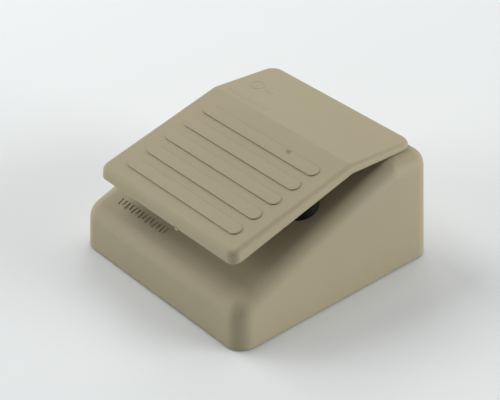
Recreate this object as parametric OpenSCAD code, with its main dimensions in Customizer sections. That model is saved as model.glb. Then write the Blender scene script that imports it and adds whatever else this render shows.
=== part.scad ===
// Foot switch: a hinged treadle over a wedge-shaped housing with a snap-action microswitch inside.
// Millimetres. +Z is up, -Y is the toe side, and the origin is on the floor under the housing's middle.

/* [Housing] */
// Width across the lower rim
base_w = 95.4; // [94:0.2:98]
// Depth across the lower rim, front to back
base_d = 100; // [99:0.5:102]
// Height of the flat rear top above the floor
base_h = 47.4; // [47.2:0.1:47.5]
// Height of the front top edge, before rounding
nose_h = 18.4; // [17:0.2:18.6]
// Slope of the front top, in degrees
slope = 20; // [19.5:0.1:20.2]
// Lean of the side walls, in degrees
draft = 2.5; // [2:0.1:3]
// Wall thickness
wall = 2.4; // [2:0.1:2.6]
// Rounding of the top edges
edge_r = 7.2; // [6.5:0.1:7.5]
// Plan radius of the corners at the rim
corner_r = 7.2; // [6.8:0.1:8]
// Gap under the rim, which the feet hold open
rim_z = 0.8; // [0.6:0.1:1]

/* [Treadle] */
// Distance of the fold behind the middle
fold_y = 12; // [11.5:0.1:12.5]
// Height of the fold's top
fold_z = 52; // [51.8:0.1:52.5]
// Slope of the front panel, in degrees
front_pitch = 13.3; // [13:0.1:13.5]
// Fall of the rear panel, in degrees
rear_pitch = 4; // [3.5:0.1:4.5]
// Length of the front panel, from the fold to its front edge
front_len = 59.4; // [59:0.1:60]
// Length of the rear panel, from the fold to its rear edge
rear_len = 32.7; // [32:0.1:32.9]
// Width across the top edges at the front
tread_w_front = 78.2; // [77.8:0.2:78.6]
// Width across the top edges at the rear
tread_w_rear = 79.4; // [79:0.2:79.8]
// Thickness of the plate and skirts
tread_t = 2; // [1.8:0.1:2.2]
// Number of grip pads
pad_count = 5; // [3:1:5]

/* [Hinge and travel] */
// Distance of the hinge behind the middle
hinge_y = 34; // [33.8:0.1:34.2]
// Height of the hinge
hinge_z = 41.8; // [41.7:0.1:41.9]
// Diameter of the hinge pins
pin_d = 3; // [2.9:0.1:3.1]
// Radial running clearance of pins and levers
run_gap = 0.05; // [0.03:0.01:0.08]
// Outer diameter of the return spring
spring_d = 10.2; // [9.6:0.2:10.6]
// Wire diameter of the return spring
wire_d = 1; // [0.8:0.1:1.1]
// Diameter of the rubber buffers
buffer_d = 12.6; // [12:0.2:13]

/* [Cable entry] */
// Bore of the cable bush
cable_d = 5.6; // [5:0.2:6]

/* [Hidden] */

housing_colour = [0.63, 0.6, 0.52];
treadle_colour = [0.65, 0.62, 0.53];
rubber_colour = [0.08, 0.09, 0.08];
steel_colour = [0.7, 0.71, 0.72];
brass_colour = [0.8, 0.66, 0.35];
resin_colour = [0.16, 0.13, 0.12];
nylon_colour = [0.85, 0.84, 0.8];

smooth = 64;        // facets on true round surfaces
soft = 32;          // facets on the corners of a hull
eps = 0.02;
lean = tan(draft);
nose_y = -base_d / 2 + (nose_h - rim_z) * lean;
crest_y = nose_y + (base_h - nose_h) / tan(slope);

// Height of the housing's outer top at a place on its slope
function slope_z(y) = nose_h + (y - nose_y) * tan(slope);
// Height of the inner face under that place
function roof_z(y) = slope_z(y) - wall / cos(slope);
// Height of the treadle's front panel, and of the plate's underside
function panel_z(y) = fold_z + (y - fold_y) * tan(front_pitch);
function under_z(y) = panel_z(y) - tread_t / cos(front_pitch);

// ---- Shared shapes -------------------------------------------------------

module rounded_slab(w, d, r, h) {
    linear_extrude(h) {
        square([w - 2 * r, d], center = true);
        square([w, d - 2 * r], center = true);
        for (x = [-1, 1], y = [-1, 1])
            translate([x * (w / 2 - r), y * (d / 2 - r)]) circle(r, $fn = smooth);
    }
}

// A pan-head screw that points up, with its head's seat at z = 0
module pan_screw(shank_r, length, head_r, head_h) {
    difference() {
        union() {
            cylinder(r = shank_r, h = length, $fn = smooth);
            translate([0, 0, -head_h]) cylinder(r = head_r, h = head_h, $fn = smooth);
        }
        for (a = [0, 90])
            rotate([0, 0, a]) translate([-head_r * 0.62, -0.35, -head_h - eps])
                cube([head_r * 1.24, 0.7, head_h * 0.5]);
    }
}

// A box that spans x, y and z between two corners
module block(low, high) {
    translate(low) cube(high - low);
}

// ---- Housing -------------------------------------------------------------

// The wedge, drawn in by inset on every face but the floor
module wedge(inset, floor_z) {
    top_c = base_h - edge_r;
    nose_c = slope_z(nose_y + edge_r) - edge_r / cos(slope);
    side_top = base_w / 2 - edge_r - (top_c - rim_z) * lean;
    side_nose = base_w / 2 - edge_r - (nose_c - rim_z) * lean;
    rear_top = base_d / 2 - edge_r - (top_c - rim_z) * lean;
    front_nose = base_d / 2 - edge_r - (nose_c - rim_z) * lean;
    hull() {
        for (x = [-1, 1]) {
            for (y = [-1, 1])
                translate([x * (base_w / 2 - corner_r), y * (base_d / 2 - corner_r), floor_z])
                    cylinder(r = corner_r - inset, h = 0.2, $fn = soft);
            translate([x * side_nose, -front_nose, nose_c]) sphere(edge_r - inset, $fn = soft);
            translate([x * side_top, crest_y + edge_r * tan(slope / 2), top_c])
                sphere(edge_r - inset, $fn = soft);
            translate([x * side_top, rear_top, top_c]) sphere(edge_r - inset, $fn = soft);
        }
    }
}

plate_z = 2.2;             // underside of the bottom plate
plate_t = 1.2;
plate_top = plate_z + plate_t;
corner_screw = [39, 41];   // plan place of the corner screws
foot_at = [26, 39.5];

spring_at = [0, -24];
spring_seat_z = 19.5;
spring_top_z = 39.5;
well_r = spring_d / 2 + 0.8;
well_wall = 1.4;
well_floor = 1.8;

buffer_at = [29.4, -3.2];
buffer_seat_z = 29;
buffer_top_z = 40.8;

lug_x = 24;                // middle of each treadle lug
lug_t = 5;
lug_r = 4.2;
cheek_t = 3;               // housing cheeks each side of a lug
cheek_gap = 1;
cheek_in = lug_x - lug_t / 2 - cheek_gap - cheek_t;
cheek_out = lug_x + lug_t / 2 + cheek_gap;

hook_x = 16;
hook_y = -12;
hook_w = 7;
hook_t = 2.2;

post_y = 2;
post_r = 2.2;
post_w = 7;
post_tip_z = 33;

switch_at = [-9, 2.6, 11.3];   // middle of the switch case's underside
bracket_hole_x = [-18, 0];
bracket_hole_y = 16;
bracket_z = 22;
bracket_t = 1.2;

cable_z = 11;
clamp_x = 8.5;
clamp_y = 36.5;
saddle_z = 13.8;
clamp_low = 6.9;

module housing_bosses() {
    for (x = [-1, 1], y = [-1, 1])
        translate([x * corner_screw[0], y * corner_screw[1], plate_top])
            cylinder(r = 4, h = base_h, $fn = smooth);
    for (x = bracket_hole_x)
        translate([x, bracket_hole_y, bracket_z + bracket_t]) cylinder(r = 3.5, h = base_h, $fn = smooth);
    for (x = [-1, 1])
        translate([x * clamp_x, clamp_y, saddle_z]) cylinder(r = 3.5, h = base_h, $fn = smooth);
    block([-clamp_x, clamp_y - 1.5, saddle_z], [clamp_x, clamp_y + 1.5, base_h]);
    // wells for the spring and the buffers
    translate([spring_at[0], spring_at[1], spring_seat_z - well_floor])
        cylinder(r = well_r + well_wall, h = base_h, $fn = smooth);
    for (x = [-1, 1])
        translate([x * buffer_at[0], buffer_at[1], buffer_seat_z - well_floor])
            cylinder(r = buffer_d / 2 + well_wall, h = base_h, $fn = smooth);
    // cheeks that carry the hinge pins
    for (x = [-1, 1], c = [cheek_in, cheek_out])
        translate([x > 0 ? c : -c - cheek_t, hinge_y - 5, hinge_z - 4.5]) cube([cheek_t, 10, base_h]);
    // pad behind the cable bush
    translate([0, base_d / 2, cable_z]) rotate([90, 0, 0]) cylinder(r = 7.4, h = 6, $fn = smooth);
}

module base_housing() {
    color(housing_colour) difference() {
        union() {
            difference() {
                wedge(0, rim_z);
                wedge(wall, rim_z - 1);
            }
            intersection() {
                housing_bosses();
                wedge(wall / 2, rim_z);
            }
        }
        for (x = [-1, 1], y = [-1, 1])
            translate([x * corner_screw[0], y * corner_screw[1], plate_top - eps])
                cylinder(r = 1.3, h = 10, $fn = smooth);
        for (x = bracket_hole_x)
            translate([x, bracket_hole_y, bracket_z]) cylinder(r = 1.3, h = 11, $fn = smooth);
        for (x = [-1, 1])
            translate([x * clamp_x, clamp_y, saddle_z - eps]) cylinder(r = 1.2, h = 10, $fn = smooth);
        translate([spring_at[0], spring_at[1], spring_seat_z]) cylinder(r = well_r, h = base_h, $fn = smooth);
        for (x = [-1, 1]) {
            translate([x * buffer_at[0], buffer_at[1], buffer_seat_z])
                cylinder(r = buffer_d / 2 + run_gap, h = base_h, $fn = smooth);
            // slots for the lugs, the hooks and, once, the post
            translate([x * lug_x - lug_t / 2 - 0.7, hinge_y - lug_r - 1.1, hinge_z - 5])
                cube([lug_t + 1.4, 2 * lug_r + 1.9, base_h]);
            translate([x * hook_x - hook_w / 2 - 0.8, hook_y - 3.6, 24]) cube([hook_w + 1.6, 6.6, base_h]);
            translate([x * cheek_in - (x > 0 ? 1 : cheek_t + 1), hinge_y, hinge_z]) rotate([0, 90, 0])
                cylinder(r = pin_d / 2 + run_gap, h = cheek_t + 2, $fn = smooth);
            translate([x * cheek_out - (x > 0 ? 1 : cheek_t + 1), hinge_y, hinge_z]) rotate([0, 90, 0])
                cylinder(r = pin_d / 2 + run_gap, h = cheek_t + 2, $fn = smooth);
        }
        translate([-post_w / 2 - 1.2, post_y - 3.4, 30]) cube([post_w + 2.4, 8.4, base_h]);
        translate([0, base_d, cable_z]) rotate([90, 0, 0])
            cylinder(r = bush_neck_r + run_gap, h = base_d, $fn = smooth);
        translate([0, base_d, cable_z]) rotate([90, 0, 0])
            cylinder(r = bush_flange_r + 0.1, h = base_d - bush_seat_y, $fn = smooth);
    }
}

module bottom_plate() {
    slack = 0.4;
    inner_w = base_w - 2 * wall - 2 * slack;
    inner_d = base_d - 2 * wall - 2 * slack;
    color(steel_colour) difference() {
        translate([0, 0, plate_z]) rounded_slab(inner_w, inner_d, corner_r - wall, plate_t);
        for (x = [-1, 1], y = [-1, 1]) {
            translate([x * corner_screw[0], y * corner_screw[1], 0]) cylinder(r = 1.7, h = 6, $fn = smooth);
            translate([x * foot_at[0], y * foot_at[1], 0]) cylinder(r = 2.6, h = 6, $fn = smooth);
        }
    }
}

module bottom_plate_screws() {
    color(steel_colour)
        for (x = [-1, 1], y = [-1, 1])
            translate([x * corner_screw[0], y * corner_screw[1], plate_z]) pan_screw(1.25, 9, 2.7, 1.4);
}

module foot(x, y) {
    color(rubber_colour) translate([x * foot_at[0], y * foot_at[1], 0]) rotate_extrude($fn = smooth)
        polygon([
            [0, 0], [6.4, 0], [7, 0.6], [7, plate_z - 0.05], [2.5, plate_z - 0.05],
            [2.5, plate_top + 0.05], [3.3, plate_top + 0.05], [2.2, plate_top + 1.6], [0, plate_top + 1.6]
        ]);
}

module buffer(side) {
    r = buffer_d / 2;
    crown = 2.5;
    arc = [for (a = [0 : 15 : 90]) [r - crown + crown * cos(a), buffer_top_z - crown + crown * sin(a)]];
    color(rubber_colour) translate([side * buffer_at[0], buffer_at[1], 0]) rotate_extrude($fn = smooth)
        polygon(concat([[0, buffer_seat_z], [r, buffer_seat_z]], arc, [[0, buffer_top_z]]));
}

// ---- Treadle -------------------------------------------------------------

flare = 14;               // lean of the skirts, in degrees
skirt_deep = 8;
brow = 2;                 // rounding of the top edges
plan_r_front = 3.8;         // plan radius of the corners
plan_r_rear = 5.5;
skirt_front = [-46.9, 33.2];
skirt_fold = [12, 48.75];
skirt_rear = [44.9, 47.4];

module front_frame() {
    translate([0, fold_y, fold_z]) rotate([front_pitch, 0, 0]) children();
}

module rear_frame() {
    translate([0, fold_y, fold_z]) rotate([-rear_pitch, 0, 0]) children();
}

// Edge outline from the deep side up to the crown, as [distance out, height]
function edge_outline(half, round_r, deep) = concat(
    [[half + deep * tan(flare), -deep]],
    [for (a = [0 : 15 : 90]) [half - round_r + round_r * cos(a), -round_r + round_r * sin(a)]]
);

module corner_button(x, y, r, round_r, deep) {
    translate([x, y, 0]) rotate_extrude($fn = soft)
        polygon(concat([[0, -deep]], edge_outline(r, round_r, deep), [[0, 0]]));
}

// Thin slice across the treadle at the fold
module fold_slice(half, drop, round_r, deep) {
    right = edge_outline(half, round_r, deep);
    left = [for (i = [len(right) - 1 : -1 : 0]) [-right[i][0], right[i][1]]];
    translate([0, fold_y, fold_z]) rotate([(front_pitch - rear_pitch) / 2, 0, 0])
        translate([0, eps / 2, -drop]) rotate([90, 0, 0]) linear_extrude(eps) polygon(concat(right, left));
}

// Both panels with their skirts, drawn in by inset
module treadle_block(inset, deep) {
    half_front = tread_w_front / 2 - inset;
    half_rear = tread_w_rear / 2 - inset;
    half_fold = half_front + (half_rear - half_front) * front_len / (front_len + rear_len);
    front_r = plan_r_front - inset;
    rear_r = plan_r_rear - inset;
    round_r = inset > 0 ? 0.3 : brow;
    drop = inset > 0 ? tread_t : 0;
    hull() {
        front_frame() for (x = [-1, 1])
            translate([0, 0, -drop])
                corner_button(x * (half_front - front_r), inset + front_r - front_len,
                              front_r, round_r, deep);
        fold_slice(half_fold, drop, round_r, deep);
    }
    hull() {
        rear_frame() for (x = [-1, 1])
            translate([0, 0, -drop])
                corner_button(x * (half_rear - rear_r), rear_len - rear_r - inset, rear_r, round_r, deep);
        fold_slice(half_fold, drop, round_r, deep);
    }
}

// Everything above the skirts' lower edge
module above_skirt_line() {
    reach = 20;
    front_rate = (skirt_fold[1] - skirt_front[1]) / (skirt_fold[0] - skirt_front[0]);
    rear_rate = (skirt_rear[1] - skirt_fold[1]) / (skirt_rear[0] - skirt_fold[0]);
    translate([-base_w / 2, 0, 0]) rotate([90, 0, 90]) linear_extrude(base_w) polygon([
        [skirt_front[0] - reach, skirt_front[1] - reach * front_rate],
        skirt_fold,
        [skirt_rear[0] + reach, skirt_rear[1] + reach * rear_rate],
        [skirt_rear[0] + reach, base_h * 2],
        [skirt_front[0] - reach, base_h * 2]
    ]);
}

pad_w = 5.2;
pad_half = 32;
pad_pitch = 9.65;
pad_first = 9.6;           // from the front edge to the first pad's middle
pad_lift = 0.5;

module grip_pads() {
    front_frame() for (i = [0 : pad_count - 1])
        translate([0, pad_first + i * pad_pitch - front_len, -0.4])
            rounded_slab(2 * pad_half, pad_w, pad_w / 2 - 0.01, 0.4 + pad_lift);
}

module hook(side) {
    barb = 1.8;
    front = hook_y - hook_t / 2;
    rear = hook_y + hook_t / 2;
    barb_top = roof_z(front) - 0.35;
    barb_low = barb_top - 2.6;
    translate([side * hook_x - hook_w / 2, 0, 0]) rotate([90, 0, 90]) linear_extrude(hook_w) polygon([
        [rear, under_z(rear) + 0.6], [front, under_z(front) + 0.6],
        [front, barb_top], [front - barb, barb_top - barb * tan(slope)],
        [front - barb, barb_low + 0.4], [front, barb_low - 1], [rear, barb_low - 1]
    ]);
}

module lug(side) {
    translate([side * lug_x - lug_t / 2, 0, 0]) {
        translate([0, hinge_y, hinge_z]) rotate([0, 90, 0]) cylinder(r = lug_r, h = lug_t, $fn = smooth);
        translate([0, hinge_y - lug_r, hinge_z])
            cube([lug_t, 2 * lug_r, fold_z - (hinge_y - fold_y) * tan(rear_pitch) - hinge_z - 1.2]);
    }
}

module treadle() {
    color(treadle_colour) difference() {
        union() {
            intersection() {
                difference() {
                    treadle_block(0, skirt_deep);
                    treadle_block(tread_t, skirt_deep + 4);
                }
                above_skirt_line();
            }
            grip_pads();
            // seat and spigot for the return spring
            translate([spring_at[0], spring_at[1], spring_top_z])
                cylinder(r = 6.4, h = under_z(spring_at[1] - 6.4) - spring_top_z + 0.4, $fn = smooth);
            translate([spring_at[0], spring_at[1], spring_top_z - 3])
                cylinder(r = spring_d / 2 - wire_d - 0.4, h = 4, $fn = smooth);
            // post that works the switch
            block([-post_w / 2, post_y - 1.2, post_tip_z + 4],
                  [post_w / 2, post_y + 1.2, under_z(post_y - 1.2) + 0.4]);
            translate([0, post_y, post_tip_z + post_r]) {
                sphere(post_r, $fn = smooth);
                cylinder(r = post_r, h = under_z(post_y - post_r) - post_tip_z - post_r + 0.4, $fn = smooth);
            }
            for (x = [-1, 1]) {
                hook(x);
                lug(x);
            }
            // stiffening ribs under the front panel
            front_frame() for (x = [-20.6, -8, 8, 20.6])
                block([x - 0.75, 8 - front_len, -tread_t - 1.6], [x + 0.75, -6, -tread_t + 0.3]);
        }
        for (x = [-1, 1])
            translate([x * lug_x - lug_t, hinge_y, hinge_z]) rotate([0, 90, 0])
                cylinder(r = pin_d / 2 + run_gap, h = 2 * lug_t, $fn = smooth);
    }
}

// Headed pin that is pushed outwards through both cheeks and the lug between them
module hinge_pin(side) {
    head_r = 2.7;
    head_t = 1.4;
    end_x = cheek_out + cheek_t + 2;
    groove_x = cheek_out + cheek_t + 0.5;
    color(steel_colour) translate([0, hinge_y, hinge_z]) mirror([side < 0 ? 1 : 0, 0, 0]) rotate([0, 90, 0])
        difference() {
            union() {
                translate([0, 0, cheek_in - 0.1 - head_t]) cylinder(r = head_r, h = head_t, $fn = smooth);
                translate([0, 0, cheek_in - 0.2])
                    cylinder(r = pin_d / 2, h = end_x - cheek_in + 0.2, $fn = smooth);
            }
            translate([0, 0, groove_x]) difference() {
                cylinder(r = pin_d, h = 0.7, $fn = smooth);
                translate([0, 0, -eps]) cylinder(r = pin_d / 2 - 0.35, h = 1, $fn = smooth);
            }
        }
}

module pin_clip(side) {
    clip_t = 0.5;
    color(steel_colour) translate([0, hinge_y, hinge_z]) mirror([side < 0 ? 1 : 0, 0, 0]) rotate([0, 90, 0])
        translate([0, 0, cheek_out + cheek_t + 0.6]) difference() {
            cylinder(r = 2.8, h = clip_t, $fn = smooth);
            translate([0, 0, -eps]) cylinder(r = pin_d / 2 - 0.3, h = 1, $fn = smooth);
            translate([0, -pin_d / 2 + 0.4, -eps]) cube([4, pin_d - 0.8, 1]);
        }
}

// ---- Return spring: a wire swept along a helix, with closed end turns ------

turns = 7.5;
steps = 20;               // rings for each turn
sides = 6;
coil_r = (spring_d - wire_d) / 2;
coil_low = spring_seat_z + wire_d / 2 + 0.05;
coil_high = spring_top_z - wire_d / 2 - 0.05;
// Share of the height at a share of the length: nearly level over the first and last turn
function rise(t) = let (e = 1 / turns, k = 0.25)
    t < e ? t * k : t > 1 - e ? 1 - (1 - t) * k : e * k + (t - e) * (1 - 2 * e * k) / (1 - 2 * e);
function coil_point(i, j) = let (
    t = i / (turns * steps), a = 360 * turns * t, b = 360 * j / sides,
    r = coil_r + wire_d / 2 * cos(b)
) [r * cos(a), r * sin(a), coil_low + (coil_high - coil_low) * rise(t) + wire_d / 2 * sin(b)];

module return_spring() {
    rings = turns * steps;
    points = [for (i = [0 : rings], j = [0 : sides - 1]) coil_point(i, j)];
    walls = [for (i = [0 : rings - 1], j = [0 : sides - 1]) let (n = (j + 1) % sides)
        [i * sides + j, i * sides + n, (i + 1) * sides + n, (i + 1) * sides + j]];
    start_cap = [[for (j = [sides - 1 : -1 : 0]) j]];
    end_cap = [[for (j = [0 : sides - 1]) rings * sides + j]];
    color(steel_colour) translate([spring_at[0], spring_at[1], 0])
        polyhedron(points, concat(walls, start_cap, end_cap), convexity = 10);
}

// ---- Microswitch: placed by the middle of the case's underside -------------

case_w = 27.8;
case_d = 10.3;
case_h = 15.5;
cover_t = 1.3;
case_wall = 1.5;
case_hole = [11.1, 2.9];
button_x = -4;
button_r = 1.5;
button_top = 18.3;
pivot = [-12, 16.5];      // lever pivot, x and height
pivot_r = 0.5;
lever_rest = 8.9;         // rise of the lever at rest, in degrees
lever_w = 4.4;
lever_t = 0.5;
lever_lift = 1.1;         // plate above the pivot
lever_ear = 0.9;
blade_z = 8.6;
blade_from = -10;
blade_to = 9;
tab_x = 6.2;

module at_switch() {
    translate(switch_at) children();
}

module along_y(x, z, y_low, y_high, r) {
    translate([x, y_low, z]) rotate([-90, 0, 0]) cylinder(r = r, h = y_high - y_low, $fn = smooth);
}

module switch_case() {
    half_d = case_d / 2;
    color(resin_colour) at_switch() difference() {
        union() {
            block([-case_w / 2, -half_d + cover_t, 0], [case_w / 2, half_d, case_h]);
            block([pivot[0] - 1.1, -1.4, case_h - eps], [pivot[0] + 1.1, 1.4, pivot[1] + 0.9]);
        }
        // contact chamber, narrow between the mounting holes
        block([-12.4, -half_d, 5.8], [12.4, half_d - case_wall, case_h - case_wall]);
        block([-8.8, -half_d, case_wall], [8.8, half_d - case_wall, 6]);
        for (x = [-1, 1]) along_y(x * case_hole[0], case_hole[1], -half_d, half_d + 1, 1.6);
        translate([button_x, 0, case_h - 3]) cylinder(r = button_r + run_gap, h = 5, $fn = smooth);
        along_y(pivot[0], pivot[1], -3, 3, pivot_r);
        for (x = [-tab_x, 0, tab_x])
            block([x - 2.05, terminal_y(x) - 0.3, -1], [x + 2.05, terminal_y(x) + 0.3, 2]);
    }
}

module switch_cover() {
    half_d = case_d / 2;
    color(resin_colour) at_switch() difference() {
        block([-case_w / 2, -half_d, 0], [case_w / 2, -half_d + cover_t - 0.02, case_h]);
        for (x = [-1, 1]) along_y(x * case_hole[0], case_hole[1], -half_d - 1, half_d, 1.6);
    }
}

module switch_button() {
    color(nylon_colour) at_switch() translate([button_x, 0, 0]) rotate_extrude($fn = smooth) polygon(concat(
        [[0, 9.95], [1.2, 9.95], [1.2, 12.6], [2.4, 12.6], [2.4, 13.9], [button_r, 13.9]],
        [for (a = [0 : 30 : 90]) [button_r * cos(a), button_top - button_r * 0.6 * (1 - sin(a))]]
    ));
}

module switch_lever() {
    reach = 25.5;
    color(steel_colour) at_switch() translate([pivot[0], 0, pivot[1]])
        rotate([0, -lever_rest, 0]) difference() {
        union() {
            block([-lever_ear, -lever_w / 2, lever_lift], [reach, lever_w / 2, lever_lift + lever_t]);
            for (y = [-1, 1])
                translate([0, y * (lever_w / 2 - lever_t / 2) - lever_t / 2, 0]) {
                    rotate([-90, 0, 0]) cylinder(r = lever_ear, h = lever_t, $fn = smooth);
                    translate([-lever_ear, 0, 0]) cube([2 * lever_ear, lever_t, lever_lift + 0.1]);
                }
        }
        along_y(0, 0, -lever_w, lever_w, pivot_r + run_gap);
    }
}

module switch_lever_pin() {
    color(steel_colour) at_switch() along_y(pivot[0], pivot[1], -2.7, 2.7, pivot_r - 0.01);
}

module contact_blade() {
    color(brass_colour) at_switch() {
        block([blade_from - 0.6, -2, blade_z - 0.15], [blade_to + 1.4, 2, blade_z + 0.15]);
        translate([blade_to, 0, blade_z - 0.65]) cylinder(r = 1.4, h = 1.3, $fn = smooth);
    }
}

// Depth of each terminal's strip in the case
function terminal_y(x) = x == 0 ? 2.9 : 0;

module terminal_tab(x) {
    y = terminal_y(x);
    difference() {
        block([x - 2, y - 0.25, -5.8], [x + 2, y + 0.25, 2.6]);
        along_y(x, -3.4, -6, 6, 0.8);
    }
}

module terminal_common() {
    color(brass_colour) at_switch() {
        terminal_tab(-tab_x);
        block([-8.2, -0.25, 2.4], [-7, 0.25, 6.6]);
        block([-10.8, -2, 6.4], [-7, 2, 6.9]);
        block([-10.4, -2, 6.8], [-9.2, 2, blade_z - 0.35]);
    }
}

module terminal_open() {
    color(brass_colour) at_switch() {
        terminal_tab(tab_x);
        block([7, -0.25, 2.4], [8.2, 0.25, 6]);
        block([7, -2, 5.9], [10.4, 2, 6.3]);
        translate([blade_to, 0, 6.2]) cylinder(r = 1.4, h = 0.6, $fn = smooth);
    }
}

module terminal_closed() {
    color(brass_colour) at_switch() {
        terminal_tab(0);
        block([-0.8, 2.65, 2.4], [0.8, 3.15, 10.8]);
        block([-0.8, 2.65, 10.2], [10.2, 3.15, 10.8]);
        block([7.6, -1.6, 10.3], [10.4, 3.1, 10.8]);
        translate([blade_to, 0, 9.4]) cylinder(r = 1.4, h = 1, $fn = smooth);
    }
}

module switch_screws() {
    color(steel_colour) at_switch() for (x = [-1, 1])
        translate([x * case_hole[0], -case_d / 2 - 0.02, case_hole[1]]) rotate([-90, 0, 0])
            pan_screw(1.48, 15, 2.8, 1.8);
}

module switch_nuts() {
    color(steel_colour) at_switch() for (x = [-1, 1])
        translate([x * case_hole[0], case_d / 2 + bracket_t + 0.1, case_hole[1]]) rotate([-90, 0, 0])
            difference() {
                cylinder(r = 3.1, h = 2.4, $fn = 6);
                translate([0, 0, -1]) cylinder(r = 1.5, h = 5, $fn = smooth);
            }
}

// Bent sheet: the switch is bolted to its face, and its top flange is screwed up to two bosses
module switch_bracket() {
    face_y = switch_at[1] + case_d / 2 + 0.05;
    low = switch_at[2] + 0.6;
    half_w = 13.4;
    color(steel_colour) difference() {
        union() {
            block([switch_at[0] - half_w, face_y, low],
                  [switch_at[0] + half_w, face_y + bracket_t, bracket_z + bracket_t]);
            block([switch_at[0] - half_w, face_y, bracket_z],
                  [switch_at[0] + half_w, bracket_hole_y + 4.5, bracket_z + bracket_t - 0.02]);
        }
        at_switch() for (x = [-1, 1]) along_y(x * case_hole[0], case_hole[1], 0, 20, 1.6);
        for (x = bracket_hole_x)
            translate([x, bracket_hole_y, bracket_z - 1]) cylinder(r = 1.7, h = 4, $fn = smooth);
    }
}

module bracket_screws() {
    color(steel_colour) for (x = bracket_hole_x)
        translate([x, bracket_hole_y, bracket_z - 0.02]) pan_screw(1.25, 9, 2.7, 1.6);
}

// ---- Cable entry -----------------------------------------------------------

bush_neck_r = 4.6;
bush_flange_r = 6.5;
bush_seat_y = 47.8;
bush_in_y = 44;

module cable_bush() {
    flange_t = 1.4;
    lip_t = 1.6;
    bore_r = cable_d / 2;
    color(rubber_colour) translate([0, 0, cable_z]) rotate([-90, 0, 0]) rotate_extrude($fn = smooth) polygon([
        [bore_r, bush_in_y - lip_t], [bush_neck_r, bush_in_y - lip_t],
        [bush_neck_r + 1.2, bush_in_y - 0.4],
        [bush_neck_r + 1.2, bush_in_y - 0.05], [bush_neck_r, bush_in_y - 0.05],
        [bush_neck_r, bush_seat_y + 0.05],
        [bush_flange_r, bush_seat_y + 0.05], [bush_flange_r, bush_seat_y + flange_t - 0.3],
        [bush_flange_r - 0.3, bush_seat_y + flange_t], [bore_r, bush_seat_y + flange_t]
    ]);
}

module cable_clamp() {
    high = clamp_low + 2.5;
    color(nylon_colour) difference() {
        translate([0, clamp_y, clamp_low]) rounded_slab(2 * clamp_x + 7, 5.6, 2.6, high - clamp_low);
        for (x = [-1, 1]) translate([x * clamp_x, clamp_y, 0]) cylinder(r = 1.6, h = 12, $fn = smooth);
        translate([0, clamp_y - 5, cable_z + 0.7])
            rotate([-90, 0, 0]) cylinder(r = 2.9, h = 10, $fn = smooth);
    }
}

module cable_clamp_screws() {
    color(steel_colour) for (x = [-1, 1])
        translate([x * clamp_x, clamp_y, clamp_low - eps]) pan_screw(1.15, 12, 2.6, 1.4);
}

base_housing();
bottom_plate();
bottom_plate_screws();
foot(-1, -1);  // foot_front_left
foot(1, -1);  // foot_front_right
foot(-1, 1);  // foot_rear_left
foot(1, 1);  // foot_rear_right
buffer(-1);  // buffer_left
buffer(1);  // buffer_right
treadle();
hinge_pin(-1);  // hinge_pin_left
hinge_pin(1);  // hinge_pin_right
pin_clip(-1);  // pin_clip_left
pin_clip(1);  // pin_clip_right
return_spring();
switch_bracket();
bracket_screws();
switch_case();
switch_cover();
switch_screws();
switch_nuts();
switch_button();
switch_lever();
switch_lever_pin();
contact_blade();
terminal_common();
terminal_open();
terminal_closed();
cable_bush();
cable_clamp();
cable_clamp_screws();
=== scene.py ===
import math

import bmesh
import bpy
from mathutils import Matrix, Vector


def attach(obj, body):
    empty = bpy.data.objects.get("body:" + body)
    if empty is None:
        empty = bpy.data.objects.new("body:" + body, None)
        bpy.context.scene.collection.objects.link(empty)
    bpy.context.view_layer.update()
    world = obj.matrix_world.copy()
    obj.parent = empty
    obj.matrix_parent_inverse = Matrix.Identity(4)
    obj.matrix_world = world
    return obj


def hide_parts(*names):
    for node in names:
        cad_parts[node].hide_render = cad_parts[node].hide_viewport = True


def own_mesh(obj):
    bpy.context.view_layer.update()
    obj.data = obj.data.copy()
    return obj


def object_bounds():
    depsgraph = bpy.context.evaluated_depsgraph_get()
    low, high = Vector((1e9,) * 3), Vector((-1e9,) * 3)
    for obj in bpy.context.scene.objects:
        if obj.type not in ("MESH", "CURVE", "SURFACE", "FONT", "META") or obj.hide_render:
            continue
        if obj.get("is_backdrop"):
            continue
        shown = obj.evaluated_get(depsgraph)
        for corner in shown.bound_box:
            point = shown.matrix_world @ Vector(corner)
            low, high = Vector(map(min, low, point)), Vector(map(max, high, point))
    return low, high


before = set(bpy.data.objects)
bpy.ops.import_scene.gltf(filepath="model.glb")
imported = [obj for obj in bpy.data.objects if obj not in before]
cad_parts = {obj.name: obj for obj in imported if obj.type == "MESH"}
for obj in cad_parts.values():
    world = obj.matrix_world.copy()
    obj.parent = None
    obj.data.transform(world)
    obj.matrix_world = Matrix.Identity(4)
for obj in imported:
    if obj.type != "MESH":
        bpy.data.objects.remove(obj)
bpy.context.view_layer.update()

# ---- Camera ---------------------------------------------------------------------------------
# A long lens looks down on the switch from the front right, a little over half a metre away, so
# that the ribbed treadle, the right wall and the toe of the housing show together.
aim = Vector((-0.0038, 0.0, 0.0203))
turn, tilt, reach = math.radians(48.956), math.radians(33.675), 0.61606
back = Vector((math.sin(turn) * math.cos(tilt), -math.cos(turn) * math.cos(tilt), math.sin(tilt)))
bpy.ops.object.camera_add(location=aim + back * reach, rotation=back.to_track_quat("Z", "Y").to_euler())
camera = bpy.context.object
camera.data.lens, camera.data.sensor_width = 113.42, 36
camera.data.clip_start = 0.01
bpy.context.scene.camera = camera

# ---- Floor and studio light -----------------------------------------------------------------
# A plain pale sheet of card lies under the switch. Low soft boxes stand at the left front and the
# right rear, which leaves the corner between them a little darker. Three weaker ones hang higher up.
floor_tone = (0.8, 0.83, 0.85)


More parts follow.
